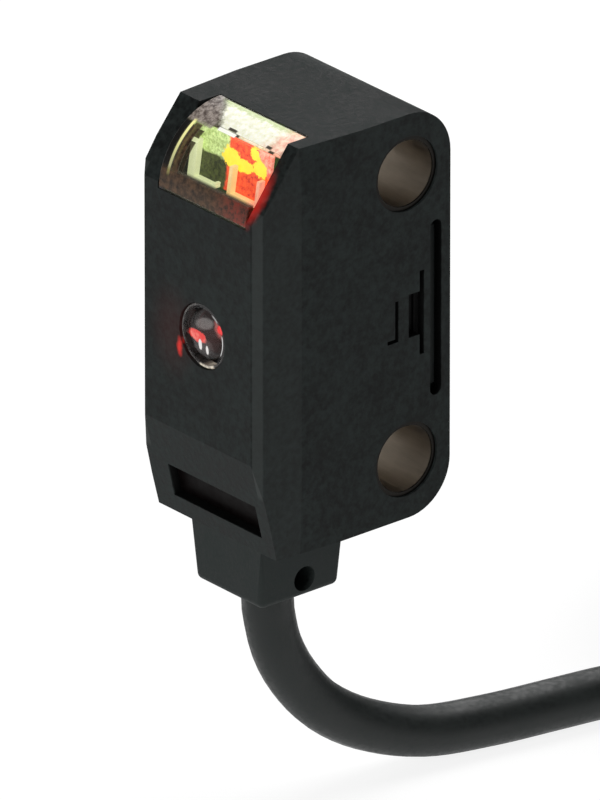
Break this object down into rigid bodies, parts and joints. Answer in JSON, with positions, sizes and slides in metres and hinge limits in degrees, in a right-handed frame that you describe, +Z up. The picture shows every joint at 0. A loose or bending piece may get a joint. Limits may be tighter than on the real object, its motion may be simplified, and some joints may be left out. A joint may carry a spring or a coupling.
{
  "type": "photoelectric sensor",
  "caption": "Ultra-compact front-sensing photoelectric sensor in a slim chamfered housing with a curved indicator window, cross-drilled mounting sleeves and a cable tied in a hank.",
  "frame": {"origin": "halfway between the two mounting holes, on the middle of the width", "axes": "+X to the right of the sensing face seen from behind, along the mounting holes; -Y out of the sensing face; +Z up, away from the cable"},
  "size_m": [0.0264, 0.0887, 0.0339],
  "materials": {
    "housing_plastic": "fine matte texture",
    "cover_plastic": "matte",
    "gasket_rubber": "matte",
    "window_clear": "polished clear",
    "guide_white": "glossy translucent",
    "led_orange": "glossy, lights up",
    "led_green": "glossy, lights up",
    "led_red": "glossy, lights up",
    "board_green": "satin lacquer",
    "lens_clear": "polished clear",
    "barrel_black": "matte",
    "filter_dark": "polished dark",
    "flex_amber": "satin film",
    "chip_black": "matte moulded",
    "component_tan": "fired ceramic",
    "wire_insulation": "satin",
    "sleeve_metal": "drawn",
    "adjuster_blue": "satin",
    "knob_white": "satin",
    "switch_black": "satin",
    "knob_orange": "satin",
    "seal_rubber": "matte",
    "gland_rubber": "matte",
    "cable_jacket": "satin",
    "tie_white": "satin",
    "core_brown": "satin",
    "core_blue": "satin",
    "core_black": "satin",
    "bare_copper": "bare strands"
  },
  "bodies": {
    "sensor": {"housing": "housing_plastic", "rear_cover": "cover_plastic", "rear_gasket": "gasket_rubber", "indicator_window": "window_clear", "light_guide": "guide_white", "operation_led": "led_orange", "stability_led": "led_green", "indicator_board": "board_green", "emitter_lens": "lens_clear", "emitter_barrel": "barrel_black", "emitter_led": "led_red", "receiver_window": "filter_dark", "receiver_lens": "lens_clear", "photodiode": "chip_black", "receiver_board": "board_green", "main_board": "board_green", "board_flexes": "flex_amber", "control_chip": "chip_black", "board_components": "component_tan", "lead_wires": "wire_insulation", "mounting_sleeve_top": "sleeve_metal", "mounting_sleeve_bottom": "sleeve_metal", "adjuster_body": "adjuster_blue", "adjuster_seal": "seal_rubber", "mode_switch_body": "switch_black", "mode_switch_seal": "seal_rubber", "cable_gland": "gland_rubber", "cable_run": "cable_jacket", "cable_hank": "cable_jacket", "cable_tail": "cable_jacket", "cable_tie": "tie_white", "core_brown": "core_brown", "core_blue": "core_blue", "core_black": "core_black", "core_tips": "bare_copper"},
    "adjuster": {"adjuster_knob": "knob_white"},
    "mode_switch": {"mode_switch_knob": "knob_orange"}
  },
  "joints": [
    {"name": "adjuster_turn", "type": "hinge", "parent": "sensor", "child": "adjuster", "pos_m": [0, 0, 0.0024], "axis": [0, 1, 0], "range_deg": [-120, 120]},
    {"name": "mode_switch_turn", "type": "hinge", "parent": "sensor", "child": "mode_switch", "pos_m": [0, 0, -0.0024], "axis": [0, 1, 0], "range_deg": [0, 90]}
  ]
}
